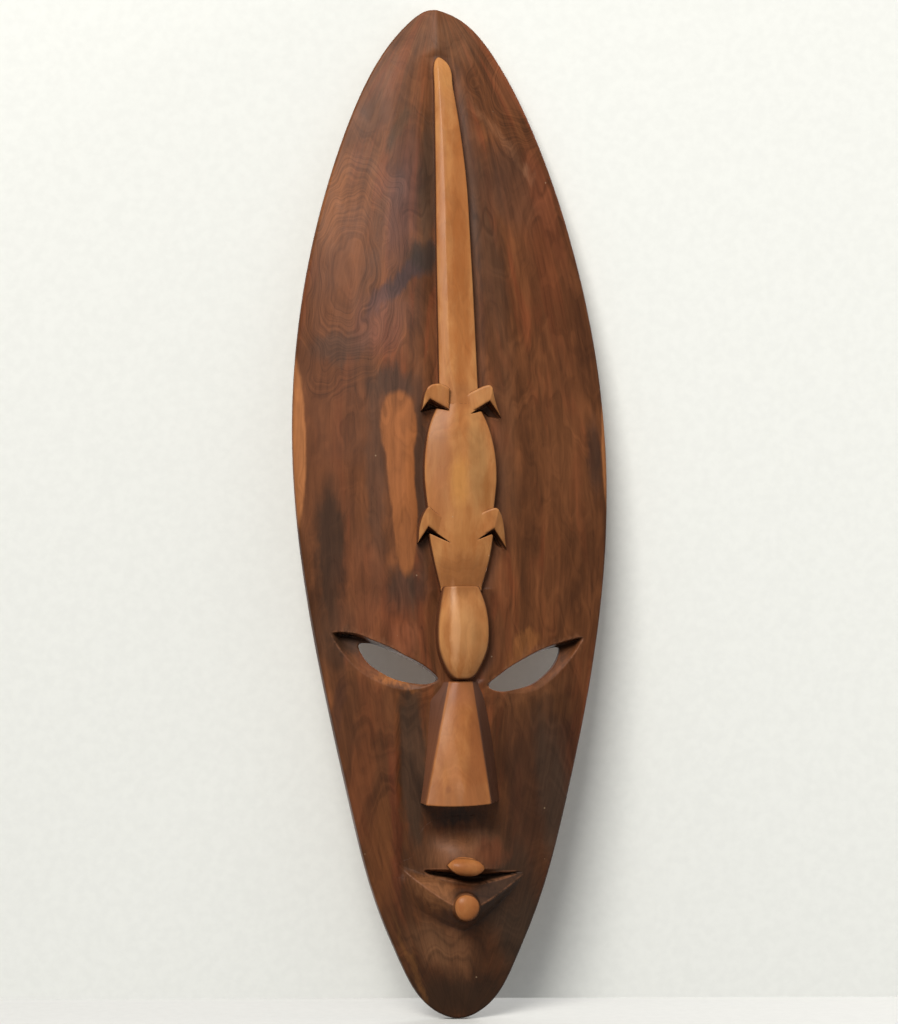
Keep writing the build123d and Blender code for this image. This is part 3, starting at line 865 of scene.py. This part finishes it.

# Patches of other colour, among them painted shade and painted highlights as marked: x, depth, half width,
# half height, turn, softness, strength, colour
HEART_PATCHES = [
    (-66, 104, 46, 90, 30, 1.4, 0.4, (112, 74, 50)),
    (-108, 390, 30, 120, 0, 1.3, 0.6, (96, 58, 38)),
    (-66, 108, 12, 26, 36, 1.1, 0.6, (88, 62, 48)),
    (-40, 118, 5, 22, 30, 1.0, 0.6, (82, 62, 46)),
    (-103, 190, 15, 42, 12, 1.1, 0.7, (142, 92, 60)),
    (-78, 205, 22, 34, 12, 1.1, 0.4, (126, 80, 52)),
    (-92, 262, 30, 66, 8, 0.9, 0.4, (122, 78, 54)),
    (-40, 190, 14, 60, 6, 1.2, 0.6, (98, 68, 66)),
    (-14, 178, 9, 66, 4, 1.0, 0.7, (76, 60, 50)),
    (8, 30, 30, 24, 0, 1.4, 0.4, (120, 90, 72)),
    (74, 66, 22, 30, -10, 0.9, 0.5, (138, 86, 60)),
    (34, 205, 13, 120, -8, 1.0, 0.7, (80, 58, 46)),
    (68, 176, 27, 42, -24, 0.9, 0.75, (80, 55, 44)),
    (57, 128, 4, 48, -38, 1.6, 0.35, (140, 98, 74)),
    (110, 430, 26, 70, -6, 1.3, 0.45, (118, 76, 50)),
    (84, 160, 4, 7, -20, 1.3, 0.4, (160, 122, 100)),
    (100, 196, 10, 60, -14, 0.9, 0.6, (128, 72, 50)),
    (100, 260, 26, 100, -12, 1.3, 0.4, (118, 72, 48)),
    (-44, 267, 45, 9, -44, 0.9, 0.85, (66, 52, 56)),
    (-22, 242, 15, 14, 0, 0.9, 0.85, (56, 45, 40)),
    (-100, 328, 26, 13, -8, 0.9, 0.7, (78, 56, 46)),
    (-62, 305, 24, 30, 30, 1.0, 0.45, (112, 74, 66)),
    (-52, 366, 19, 17, 0, 0.9, 0.8, (72, 54, 46)),
    (-29, 452, 7, 92, 0, 0.9, 0.85, (70, 52, 44)),
    (-71, 455, 8, 100, 0, 1.1, 0.6, (80, 58, 48)),
    (-113, 522, 13, 66, 0, 0.8, 0.85, (52, 38, 30)),
    (-107, 596, 20, 30, 0, 1.0, 0.6, (76, 54, 42)),
    (-46, 556, 18, 22, 0, 1.0, 0.7, (70, 54, 48)),
    (-84, 540, 18, 32, 0, 1.1, 0.5, (122, 74, 50)),
    (-66, 590, 34, 26, 10, 1.2, 0.5, (128, 76, 52)),
    (-46, 600, 14, 14, 30, 1.0, 0.4, (140, 86, 62)),
    (50, 420, 12, 90, 0, 1.2, 0.5, (98, 68, 50)),
    (40, 545, 10, 22, -10, 1.0, 0.6, (134, 86, 58)),
    (140, 430, 7, 34, 0, 1.0, 0.7, (62, 46, 40)),
    (67, 606, 13, 13, 0, 0.5, 0.65, (146, 96, 58)),
    (56, 628, 7, 14, 10, 0.9, 0.6, (140, 90, 52)),
    (-84, 690, 26, 60, 0, 1.2, 0.65, (84, 52, 34)),
    (-90, 740, 10, 100, 8, 1.1, 0.45, (110, 64, 40)),
    (-70, 800, 16, 60, 10, 1.1, 0.5, (120, 74, 44)),
    (-112, 690, 6, 60, 9, 0.9, 0.6, (72, 46, 36)),
    (-41, 712, 12.5, 76, -2, 0.45, 0.8, (66, 51, 42)),
    (-57, 770, 5, 70, -2, 0.9, 0.6, (98, 50, 34)),
    (84, 668, 26, 18, 0, 1.1, 0.6, (108, 72, 44)),
    # painted shade on the right cheek, away from the light
    (96, 720, 22, 66, 0, 1.2, 0.75, (62, 39, 30)),
    # painted shadow under the nose
    (1, 764, 22, 9, 0, 1.0, 0.7, (42, 31, 27)),
    (84, 740, 5, 60, 4, 1.0, 0.5, (104, 62, 40)),
    # painted shade on the right cheek beside the nose
    (68, 742, 22, 84, 0, 1.0, 0.75, (58, 38, 28)),
    (96, 770, 15, 110, -8, 1.0, 0.65, (66, 54, 47)),
    # painted shade on the right of the chin
    (54, 860, 26, 84, -16, 1.0, 0.85, (54, 43, 36)),
    # painted shade at the foot of the chin
    (0, 914, 46, 34, 0, 1.2, 0.6, (56, 36, 24)),
    (-18, 882, 26, 16, 30, 1.4, 0.65, (120, 86, 64)),
    (0, 894, 9, 36, 0, 1.4, 0.5, (112, 76, 54)),
    (4, 797, 34, 20, 0, 1.0, 0.6, (128, 88, 64)),
    (-22, 832, 26, 11, 34, 0.9, 0.65, (134, 92, 64)),
    # painted shade on the right side of the lips
    (40, 834, 32, 18, -24, 1.0, 0.8, (58, 40, 30)),
    (32, 800, 14, 12, 0, 1.0, 0.5, (112, 62, 42)),
    # painted shadow in the outer corner of the left eye socket
    (-98, 604, 17, 8, 34, 0.9, 0.75, (56, 42, 34)),
    # painted highlight on the upward-facing left lower lid
    (-56, 638, 38, 9, 16, 0.9, 0.4, (124, 80, 52)),
    # painted highlight, with rubbed wear, along the left lower lid's edge
    (-56, 641, 18, 3.5, 24, 0.9, 0.45, (172, 110, 60)),
    # painted shade at the foot of the chin
    (6, 930, 60, 20, 0, 1.2, 0.85, (44, 30, 21)),
    (-44, 900, 3, 40, -22, 1.0, 0.5, (112, 76, 46)),
    # painted highlight on the upward-facing right lower lid
    (76, 650, 40, 9, -16, 0.9, 0.4, (126, 84, 58)),
]
PALE, PALE_EDGE = (146, 92, 56), (160, 106, 68)
PALE_PATCHES = [
    (-49, 404, 16.5, 34, 0, 0.22, 0.94, PALE),
    (-47.5, 440, 12.5, 52, 0, 0.22, 0.94, PALE),
    (-44.5, 488, 11, 54, 0, 0.22, 0.94, PALE),
    (-147, 416, 13.5, 86, 0, 0.22, 0.94, PALE_EDGE),
    (157, 424, 9, 74, 0, 0.22, 0.94, PALE_EDGE),
]


def growth(graph):
    """Distance from the heart of the tree, bent, and curled round the swirls."""
    bent = graph.vector("ADD", graph.mm, graph.jitter(graph.stretch(60, 60, 170), 3.0, 0.55, 38.0))
    away = graph.vector("MULTIPLY", graph.vector("SUBTRACT", bent, (-8, 120, 0)), (1, 1.5, 0.03))
    ring = graph.vector("LENGTH", away)
    curled = graph.vector("ADD", bent, graph.jitter(graph.stretch(30, 30, 50), 1.0, 0.5, 46.0))
    for x, d, half_width, half_height, turn in SWIRLS:
        reach = graph.reach(curled, x, d, half_width, half_height, turn)
        rings = graph.times(reach, 0.5 * half_width)
        ring = graph.blend(graph.ramp(reach, 1.3, 0.3, 0, 0.7), ring, rings)
    return ring


def along_outline(graph):
    """Coordinates whose lines run up the mask and lean in towards both of its ends with the outline."""
    half = (APEX - CHIN) / 2
    share = graph.times(graph.minus(graph.z, MIDDLE), 1 / half)
    narrow = graph.minus(1.0, graph.times(graph.math("POWER", share, 2.0), 0.96))
    spread = graph.times(graph.x, graph.math("POWER", narrow, -0.75))
    return graph.combine(spread, graph.y, graph.z)


def grain(graph, ring, lines, depth):
    """A factor near one: soft growth bands, fine fibres and pores along the mask."""
    slow = graph.times(graph.z, 0.006)
    bands = graph.noise(graph.combine(graph.times(ring, 0.15), slow), 3.0, 0.6)
    veins = graph.noise(graph.combine(graph.times(ring, 0.42), slow, 7.0), 2.0, 0.5)
    fibres = graph.noise(graph.stretch(1.3, 1.3, 30, lines), 3.0, 0.6)
    pores = graph.ramp(graph.noise(graph.stretch(0.9, 0.9, 9, lines), 1.0), 0.66, 0.76)
    streaks = graph.noise(graph.stretch(5, 5, 90, lines), 3.0, 0.6)
    total = graph.times(graph.ramp(bands, 0.32, 0.68), 0.42 * depth)
    total = graph.plus(total, graph.times(graph.ramp(veins, 0.42, 0.58), 0.16 * depth))
    total = graph.plus(total, graph.times(fibres, 0.3 * depth))
    total = graph.plus(total, graph.times(graph.ramp(streaks, 0.3, 0.7), 0.26 * depth))
    total = graph.minus(total, graph.times(pores, 0.16 * depth))
    return graph.plus(total, 1 - 0.55 * depth), fibres, pores


def finish_wood(graph, colour, fibres, pores, coat):
    """A waxed satin surface with the fibres just felt through it."""
    smudge = graph.noise(graph.stretch(38, 38, 60), 3.0, 0.6)
    rough = graph.plus(graph.ramp(smudge, 0.3, 0.7, 0.33, 0.47), graph.times(fibres, 0.06))
    relief = graph.minus(graph.times(fibres, 0.5), graph.times(pores, 0.8))
    bump = graph.bump(relief, 0.5, 0.00012)
    graph.fill(graph.shader, Base_Color=colour, Roughness=rough, Normal=bump)
    graph.fill(graph.shader, Specular_IOR_Level=0.12, Coat_Weight=coat, Coat_Roughness=0.22)


def specks(graph, colour):
    """Tiny pale flecks of dust and old wax."""
    cells = graph.node("TexVoronoi", graph.stretch(17, 17, 17))
    graph.fill(cells, Scale=1.0)
    dot = graph.ramp(cells.outputs["Distance"], 0.055, 0.035)
    rare = graph.ramp(graph.node("SeparateXYZ", cells.outputs["Color"]).outputs[0], 0.80, 0.82)
    share = graph.times(graph.times(dot, rare), 0.45)
    return graph.mix(share, colour, linear(180, 150, 118))


def heart_tone(graph, lines):
    """The slow changes of colour in the heartwood, with painted shade towards the chin and patches over it.
    """
    flow = graph.noise(graph.stretch(20, 30, 96, lines), 4.0, 0.58, swirl=0.7)
    tone = graph.mix(graph.ramp(flow, 0.3, 0.7), linear(84, 52, 33), linear(120, 75, 48))
    red = graph.noise(graph.stretch(19, 40, 110, lines), 3.0, 0.5, swirl=0.6)
    tone = graph.mix(graph.ramp(red, 0.48, 0.7, 0, 0.6), tone, linear(124, 67, 42))
    # painted shade: the wood darkens towards the chin
    lower = graph.ramp(graph.z, APEX - 560, APEX - 860, 0, 0.6)
    tone = graph.mix(lower, tone, linear(60, 38, 24))
    ragged = graph.jitter(graph.stretch(10, 40, 26), 4.0, 0.6, 16.0)
    tone = graph.patched(tone, graph.shifted(ragged, (1, 0, 2)), HEART_PATCHES)
    return graph.patched(tone, graph.shifted(ragged, (0.3, 0, 0.7)), PALE_PATCHES)


def painted_hollow_shade(graph, colour):
    """Painted shade: darker wood where the carving is deep."""
    deep = graph.node("Attribute", attribute_name="hollow").outputs["Fac"]
    return graph.mix(graph.times(deep, 0.75), colour, linear(34, 24, 18))


def edge_wear_and_highlight(graph, colour):
    """Paler wood on the crisp edges of the carving: wear where hands and cloths have rubbed them, and a
    painted highlight where they catch the light.
    """
    edge = graph.node("Attribute", attribute_name="worn_and_lit_edge").outputs["Fac"]
    broken = graph.ramp(graph.noise(graph.stretch(6, 6, 6), 3.0, 0.6), 0.34, 0.6)
    share = graph.times(graph.times(edge, broken), 0.5)
    return graph.mix(share, colour, linear(146, 96, 66))


def heartwood():
    graph = Graph("heartwood")
    lines = along_outline(graph)
    tone = heart_tone(graph, lines)
    raw = graph.ramp(graph.noise(graph.stretch(24, 24, 90), 3.0, 0.6), 0.3, 0.7)
    raw = graph.mix(raw, linear(92, 64, 44), linear(124, 90, 62))
    tone = graph.mix(facing_front(graph, -0.5, -0.1), raw, tone)
    factor, fibres, pores = grain(graph, growth(graph), lines, 1.0)
    tone = graph.mix(1.0, tone, (1.0, 0.9, 0.74, 1), "MULTIPLY")
    # painted shade in the deep carving, then wear and a painted highlight on crisp edges
    colour = edge_wear_and_highlight(graph, painted_hollow_shade(graph, graph.tint(tone, factor)))
    finish_wood(graph, specks(graph, colour), fibres, pores, 0.03)
    return graph.material


def facing_front(graph, low, high):
    """One where the surface faces away from the wall, zero on the flanks."""
    normal = graph.node("NewGeometry").outputs["Normal"]
    out = graph.times(graph.node("SeparateXYZ", normal).outputs[1], -1.0)
    return graph.ramp(out, low, high)


def sapwood(name, light, deep, flank, patches=(), flanks=(0.45, 0.75)):
    """Pale wood that darkens on the flanks of the carving; with no flank colour it's the nose's."""
    graph = Graph(name)
    factor, fibres, pores = grain(graph, growth(graph), graph.mm, 0.34)
    flow = graph.noise(graph.stretch(12, 30, 34), 4.0, 0.6, swirl=0.6)
    tone = graph.mix(graph.ramp(flow, 0.3, 0.7), linear(*deep), linear(*light))
    ragged = graph.jitter(graph.stretch(9, 40, 22), 3.0, 0.6, 9.0)
    tone = graph.patched(tone, graph.shifted(ragged, (1, 0, 2)), patches)
    if flank:
        tone = graph.mix(facing_front(graph, *flanks), linear(*flank), tone)
    else:
        tone = nose_flanks(graph, tone)
    finish_wood(graph, specks(graph, graph.tint(tone, factor)), fibres, pores, 0.12)
    return graph.material


def nose_flanks(graph, tone):
    """The nose's colour, with the brown heartwood that shows on its two flanks, the right flank darker as
    painted shade.
    """
    start, fall = APEX - NOSE_TOP, NOSE_TOP - NOSE_FOOT
    t = graph.math("DIVIDE", graph.minus(graph.z, start), fall)
    middle = graph.math("MULTIPLY_ADD", t, NOSE_MIDDLE[1], NOSE_MIDDLE[0])
    face = graph.math("MULTIPLY_ADD", t, NOSE_FACE[1], NOSE_FACE[0])
    u = graph.math("DIVIDE", graph.minus(graph.x, middle), face)
    left = graph.mix(graph.ramp(t, 0.0, 0.6), linear(*NOSE_LEFT_TOP), linear(*NOSE_LEFT))
    for sign, colour in ((-1.0, left), (1.0, linear(*NOSE_RIGHT_SHADED))):
        beyond = graph.ramp(graph.times(u, sign), 0.95, 1.04)
        tone = graph.mix(beyond, tone, colour)
    return tone


LIZARD_PATCHES = [
    # painted highlight along the tail's ridge
    (-3, 200, 3, 170, 1.5, 0.9, 0.6, (186, 126, 82)),
    # a deeper orange on the tail's right facet, darkened as painted shade
    (13, 250, 8, 170, 1.5, 0.8, 0.6, (160, 92, 42)),
    (2, 200, 14, 60, 0, 1.4, 0.3, (160, 92, 42)),
    # painted highlight on the tip of the tail
    (2, 60, 10, 24, 0, 1.0, 0.4, (206, 142, 78)),
    (-14, 436, 10, 54, 0, 1.0, 0.55, (158, 102, 64)),
    (-18, 475, 8, 24, 0, 1.0, 0.5, (166, 102, 56)),
    (22, 440, 9, 40, 0, 1.0, 0.55, (164, 122, 74)),
    (4, 458, 8, 22, 0, 1.1, 0.7, (200, 138, 72)),
    (30, 466, 5, 18, 0, 1.1, 0.6, (150, 92, 44)),
    (6, 500, 8, 20, 0, 1.0, 0.5, (190, 128, 72)),
    # painted shade on the low end of the body, which faces down
    (5, 545, 26, 20, 0, 0.9, 0.75, (144, 88, 46)),
    # painted highlight down the head's ridge
    (-3, 590, 4, 34, 0, 0.9, 0.6, (216, 160, 112)),
    (8, 596, 8, 26, 0, 1.1, 0.5, (206, 150, 96)),
    (19, 604, 7, 30, 0, 1.1, 0.5, (170, 118, 70)),
    (8, 376, 12, 12, 0, 1.2, 0.4, (160, 104, 62)),
]
NOSE_PATCHES = [
    # painted highlight down the left of the nose's face
    (-8, 715, 6, 60, -9, 1.2, 0.4, (184, 124, 80)),
    # painted shade on the right of the nose's face
    (15, 712, 9, 64, 6, 1.0, 0.75, (138, 80, 42)),
    (-12, 741, 2.5, 4, 20, 0.8, 0.6, (130, 76, 46)),
    (4, 650, 16, 14, 0, 1.2, 0.6, (150, 90, 56)),
    # painted highlight near the foot of the nose
    (-2, 744, 3, 10, 0, 1.2, 0.3, (196, 142, 106)),
    (0, 750, 30, 14, 0, 1.2, 0.6, (150, 94, 54)),
]


def metal(name, colour, rough, scale):
    """Plated steel, a little dulled."""
    graph = Graph(name)
    dull = graph.noise(graph.stretch(scale, scale, scale), 4.0, 0.6)
    tone = graph.mix(graph.ramp(dull, 0.35, 0.7), linear(*colour), linear(*[c * 0.72 for c in colour]))
    relief = graph.bump(graph.noise(graph.stretch(0.6, 0.6, 0.6), 3.0), 0.3, 0.00005)
    rough = graph.ramp(dull, 0.3, 0.7, rough, rough + 0.2)
    graph.fill(graph.shader, Base_Color=tone, Metallic=1.0, Roughness=rough, Normal=relief)
    return graph.material


def dress(material, *names):
    for name in names:
        piece = bpy.data.objects.get(name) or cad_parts[name]
        piece.data.materials.clear()
        piece.data.materials.append(material)


dress(heartwood(), "carved_board", "carved_upper_lip", "carved_lower_lip")
lizard_wood = sapwood("lizard_sapwood", (190, 130, 76), (172, 108, 58), (96, 56, 34), LIZARD_PATCHES)
dress(lizard_wood, "carved_tail", "carved_body", "carved_head", *("carved_" + leg for leg in LEGS))
nose_sapwood = sapwood("nose_sapwood", (171, 110, 61), (155, 93, 48), None, NOSE_PATCHES)
dress(nose_sapwood, "carved_nose")
bead_wood = sapwood("bead_sapwood", (172, 112, 62), (160, 96, 50), (104, 62, 36), flanks=(0.1, 0.5))
dress(bead_wood, "carved_upper_bead", "carved_lower_bead")

for node, material in (
    ("hanger_strap", metal("strap_steel", (176, 172, 160), 0.34, 3.0)),
    ("hanger_ring", metal("ring_steel", (190, 186, 176), 0.22, 2.0)),
    ("hanger_screws", metal("screw_zinc", (168, 170, 168), 0.3, 1.5)),
):
    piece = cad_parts[node]
    if not piece.material_slots:
        piece.data.materials.append(material)
    for slot in piece.material_slots:
        slot.material = material

# ---------------- stage
FLOOR = CHIN * MM
ROOM_REACH, ROOM_HEIGHT = 6, 4


def sheet(name, corners, material):
    mesh = bpy.data.meshes.new(name)
    mesh.from_pydata(corners, [], [(0, 1, 2, 3)])
    piece = add_object(name, mesh)
    mesh.materials.append(material)
    return piece


def paint(name, colour, one_sided):
    graph = Graph(name)
    speckle = graph.noise(graph.stretch(9, 9, 9), 4.0, 0.6)
    tone = graph.mix(graph.ramp(speckle, 0.3, 0.7), linear(*colour), linear(*[c * 0.985 for c in colour]))
    graph.fill(graph.shader, Base_Color=tone, Roughness=0.8)
    if one_sided:
        behind = graph.node("NewGeometry").outputs["Backfacing"]
        clear = graph.node("BsdfTransparent").outputs[0]
        both = graph.node("MixShader", behind, graph.shader.outputs[0], clear)
        output = graph.tree.nodes["Material Output"]
        graph.feed(output.inputs["Surface"], both.outputs[0])
    return graph.material


# The mask leans back against the wall and stands on its chin, so room and mask are turned apart
ROOM_TURN = Euler([math.radians(a) for a in (5.85, 1.3, -5.0)]).to_matrix()
WALL_GAP = 0.1  # from the chin to the wall


def in_room(*corners):
    return [Vector((0, 0, FLOOR)) + ROOM_TURN @ Vector(corner) for corner in corners]


floor_corners = [(x * ROOM_REACH, y * ROOM_REACH, 0) for x, y in ((-1, -1), (1, -1), (1, 1), (-1, 1))]
floor = sheet("floor", in_room(*floor_corners), paint("pale_floor", (214, 212, 206), False))
floor.visible_diffuse = False
wall_corners = [
    (x * ROOM_REACH, WALL_GAP, z * ROOM_HEIGHT) for x, z in ((-1, 0), (1, 0), (1, 1), (-1, 1))
]
wall = sheet("wall", in_room(*wall_corners), paint("white_wall", (248, 248, 241), True))
wall.visible_shadow = False
wall.visible_diffuse = False
wall.visible_glossy = False

# ---------------- camera
cam = bpy.data.cameras.new("camera")
camera = add_object("camera", cam)
bpy.context.scene.camera = camera
CAMERA_PLACE = Vector((-363.7, -2579.5, -537.7)) * MM
CAMERA_AIM = Vector((0.13982, 0.98565, 0.09458))
CAMERA_UP = Vector((0.00888, -0.09676, 0.99527))
z_axis = -CAMERA_AIM.normalized()
x_axis = CAMERA_UP.cross(z_axis).normalized()
turn = Matrix((x_axis, z_axis.cross(x_axis), z_axis)).transposed()
camera.matrix_world = Matrix.Translation(CAMERA_PLACE) @ turn.to_4x4()
cam.sensor_width = 36.0
cam.lens = 97.77
cam.clip_start = 0.1

# ---------------- light
world = bpy.data.worlds.new("studio")
bpy.context.scene.world = world
world.use_nodes = True
sky = world.node_tree.nodes
up_share = sky.new("ShaderNodeSeparateXYZ")
brighter_above = sky.new("ShaderNodeMapRange")
for name, value in (("From Min", -0.6), ("From Max", 0.8), ("To Min", 0.05), ("To Max", 0.66)):
    brighter_above.inputs[name].default_value = value
direction = sky.new("ShaderNodeTexCoord").outputs["Generated"]
world.node_tree.links.new(direction, up_share.inputs[0])
world.node_tree.links.new(up_share.outputs[2], brighter_above.inputs[0])
world.node_tree.links.new(brighter_above.outputs[0], sky["Background"].inputs["Strength"])
sky["Background"].inputs["Color"].default_value = (0.94, 0.97, 1.0, 1)
bpy.context.scene.view_settings.view_transform = "Standard"


def soft_box(name, place, target, size, power, colour=(1, 1, 1), only=None):
    light = bpy.data.lights.new(name, "AREA")
    light.shape = "SQUARE"
    light.size = size
    light.energy = power
    light.color = colour
    lamp = add_object(name, light)
    lamp.location = place
    lamp.rotation_mode = "QUATERNION"
    lamp.rotation_quaternion = (Vector(target) - lamp.location).to_track_quat("-Z", "Y")
    if only:
        lamp.light_linking.receiver_collection = only


room = bpy.data.collections.new("room")
room.objects.link(wall)
room.objects.link(floor)
soft_box("wall_wash", (2.4, -0.32, -0.6), (0.3, 0.1, -0.6), 0.7, 46, only=room)
soft_box("key", (-1.9, -4.2, 2.9), (0, 0, -0.2), 2.8, 300, (1.0, 0.985, 0.96))
soft_box("back_fill", (1.9, 1.7, 1.3), (0, 0, -0.3), 1.2, 26)
